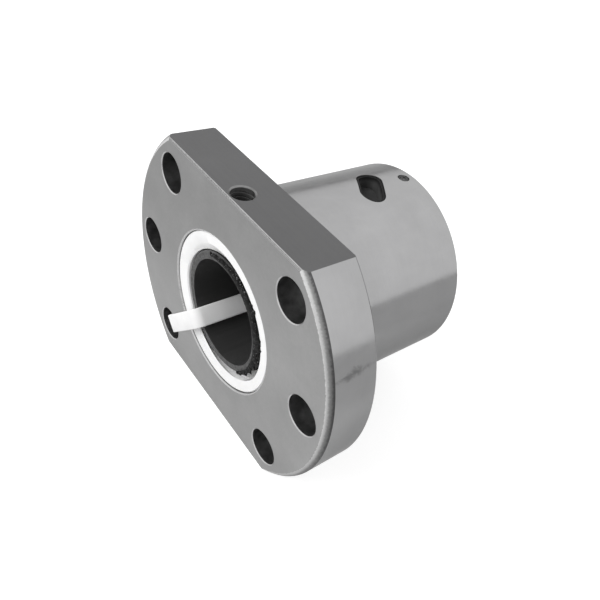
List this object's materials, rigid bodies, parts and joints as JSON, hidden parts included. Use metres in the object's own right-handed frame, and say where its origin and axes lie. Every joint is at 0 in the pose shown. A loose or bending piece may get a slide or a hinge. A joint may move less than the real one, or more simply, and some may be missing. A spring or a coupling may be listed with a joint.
{
  "type": "flanged ball screw nut",
  "caption": "Flanged steel ball screw nut with wiper rings, ball circuits and return inserts, held on a plastic assembly sleeve by a cable tie.",
  "frame": {"origin": "on the nut axis, in the plane of the flange's mounting face, the one the barrel stands on", "axes": "+Y along the nut axis into the barrel, +Z out of the upper flange flat with the lubrication port, X along the flange's long way"},
  "size_m": [0.08, 0.056, 0.062],
  "materials": {
    "bearing_steel": "ground",
    "wiper_plastic": "matte",
    "black_steel": "blackened",
    "insert_plastic": "satin",
    "ball_steel": "polished",
    "sleeve_plastic": "satin",
    "tie_nylon": "satin"
  },
  "bodies": {
    "nut": {"nut_body": "bearing_steel", "wiper_front": "wiper_plastic", "wiper_rear": "wiper_plastic", "wiper_set_screw": "black_steel", "cable_tie": "tie_nylon", "return_deflector_1": "insert_plastic", "return_deflector_2": "insert_plastic", "return_deflector_3": "insert_plastic", "return_deflector_4": "insert_plastic", "ball_circuit_1": "ball_steel", "ball_circuit_2": "ball_steel", "ball_circuit_3": "ball_steel", "ball_circuit_4": "ball_steel"},
    "sleeve": {"assembly_sleeve": "sleeve_plastic"}
  },
  "joints": [
    {"name": "sleeve_spin", "type": "hinge", "parent": "nut", "child": "sleeve", "pos_m": [0, 0, 0], "axis": [0, 1, 0], "continuous": true}
  ]
}
